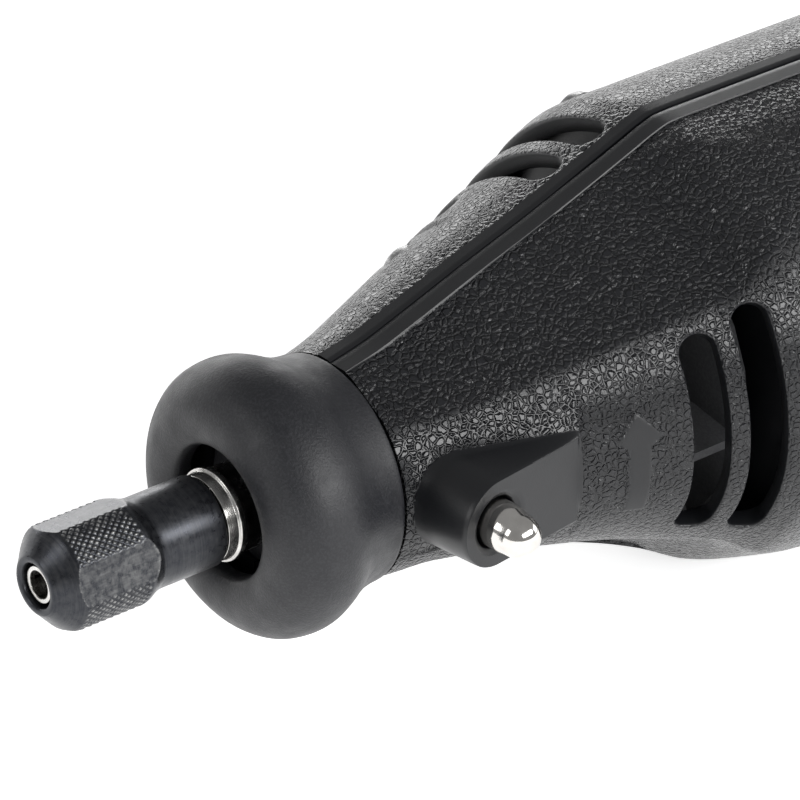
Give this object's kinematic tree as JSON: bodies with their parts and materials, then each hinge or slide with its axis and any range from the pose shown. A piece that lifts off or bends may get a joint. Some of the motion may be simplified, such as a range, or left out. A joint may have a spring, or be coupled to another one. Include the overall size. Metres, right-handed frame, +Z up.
{
  "type": "rotary hobby tool",
  "caption": "Hand-held mains rotary hobby tool: collet and nut, flared nose cap, spindle lock button, vented clamshell body, hanger bail.",
  "frame": {"origin": "middle of the tool's footprint, level with the flat strip along its underside that it lies on", "axes": "+X along the tool's axis from the collet to the rear, +Z up; the housing halves part in the XZ plane and the spindle lock button is on the -Y side"},
  "size_m": [0.233, 0.0579, 0.0574],
  "materials": {
    "housing_plastic": "moulded pebble grain, satin black",
    "cap_plastic": "fine eroded texture, matte black",
    "control_plastic": "moulded dark grey",
    "black_oxide_steel": "turned, milled and blackened",
    "bright_steel": "turned and ground",
    "polished_steel": "polished",
    "bail_wire": "drawn wire, zinc plated",
    "lamination_steel": "stacked varnished laminations",
    "copper": "enamelled copper wire and bars",
    "brass": "pressed brass",
    "carbon": "pressed carbon block",
    "board_laminate": "glass-epoxy laminate",
    "rubber": "matte black rubber"
  },
  "bodies": {
    "housing": {"housing_left": "housing_plastic", "housing_right": "housing_plastic", "nose_cap": "cap_plastic", "housing_screw_1": "bright_steel", "housing_screw_2": "bright_steel", "housing_screw_3": "bright_steel", "housing_screw_4": "bright_steel", "housing_screw_5": "bright_steel", "housing_screw_6": "bright_steel", "front_bearing_outer": "bright_steel", "dust_washer": "cap_plastic", "spindle_bearing_outer": "bright_steel", "motor_bearing_outer": "bright_steel", "rear_bearing_outer": "bright_steel", "rear_bearing_boot": "rubber", "stator_core": "lamination_steel", "field_coil_upper": "copper", "field_coil_lower": "copper", "brush_holder_left": "brass", "brush_holder_right": "brass", "brush_cap_left": "control_plastic", "brush_cap_right": "control_plastic", "brush_spring_left": "bright_steel", "brush_spring_right": "bright_steel", "lock_pin_spring": "bright_steel", "switch_body": "control_plastic", "speed_control": "control_plastic", "control_board": "board_laminate", "suppression_capacitor": "control_plastic", "cord_inlet": "rubber"},
    "spindle": {"spindle": "bright_steel", "front_bearing_inner": "bright_steel", "spindle_bearing_inner": "bright_steel", "motor_bearing_inner": "bright_steel", "rear_bearing_inner": "bright_steel", "shaft_coupling": "rubber", "armature_shaft": "bright_steel", "fan": "control_plastic", "armature_core": "lamination_steel", "armature_winding_front": "copper", "armature_winding_rear": "copper", "commutator": "copper"},
    "bearing_cage": {"front_bearing_cage": "brass"},
    "collet": {"collet": "bright_steel"},
    "collet_nut": {"collet_nut": "black_oxide_steel"},
    "lock_pin": {"lock_pin": "polished_steel", "lock_pin_clip": "bright_steel"},
    "brush_left": {"carbon_brush_left": "carbon"},
    "brush_right": {"carbon_brush_right": "carbon"},
    "power_switch": {"power_switch": "control_plastic"},
    "speed_dial": {"speed_dial": "control_plastic"},
    "hanger_bail": {"hanger_bail": "bail_wire"}
  },
  "joints": [
    {"name": "spindle_spin", "type": "hinge", "parent": "housing", "child": "spindle", "pos_m": [-0.0705, 0, 0.02848], "axis": [1, 0, 0], "continuous": true},
    {"name": "cage_spin", "type": "hinge", "parent": "housing", "child": "bearing_cage", "pos_m": [-0.0821, 0, 0.02848], "axis": [1, 0, 0], "continuous": true},
    {"name": "collet_slide", "type": "slide", "parent": "spindle", "child": "collet", "axis": [-1, 0, 0], "range_m": [0, 0.00151]},
    {"name": "nut_turn", "type": "hinge", "parent": "collet", "child": "collet_nut", "pos_m": [-0.1065, 0, 0.02848], "axis": [-1, 0, 0], "range_deg": [0, 720]},
    {"name": "lock_press", "type": "slide", "parent": "housing", "child": "lock_pin", "axis": [0, 1, 0], "range_m": [0, 0.0026], "stiffness_N_per_m": 500, "springref_m": -0.002, "deforming": ["lock_pin_spring"]},
    {"name": "brush_left_feed", "type": "slide", "parent": "housing", "child": "brush_left", "axis": [0, -1, 0], "range_m": [0, 0.003], "stiffness_N_per_m": 150, "springref_m": -0.003, "deforming": ["brush_spring_left"]},
    {"name": "brush_right_feed", "type": "slide", "parent": "housing", "child": "brush_right", "axis": [0, 1, 0], "range_m": [0, 0.003], "stiffness_N_per_m": 150, "springref_m": -0.003, "deforming": ["brush_spring_right"]},
    {"name": "switch_slide", "type": "slide", "parent": "housing", "child": "power_switch", "axis": [-1, 0, 0], "range_m": [0, 0.005]},
    {"name": "dial_turn", "type": "hinge", "parent": "housing", "child": "speed_dial", "pos_m": [0.0795, -0.024, 0.02848], "axis": [0, -1, 0], "range_deg": [0, 270]},
    {"name": "bail_swing", "type": "hinge", "parent": "housing", "child": "hanger_bail", "pos_m": [0.0865, 0, 0.02848], "axis": [0, 0, 1], "range_deg": [-90, 90]}
  ],
  "couplings": [
    {"joint": "cage_spin", "follows": "spindle_spin", "ratio": 0.425},
    {"joint": "collet_slide", "follows": "nut_turn", "m_per_rad": 0.00011937}
  ]
}
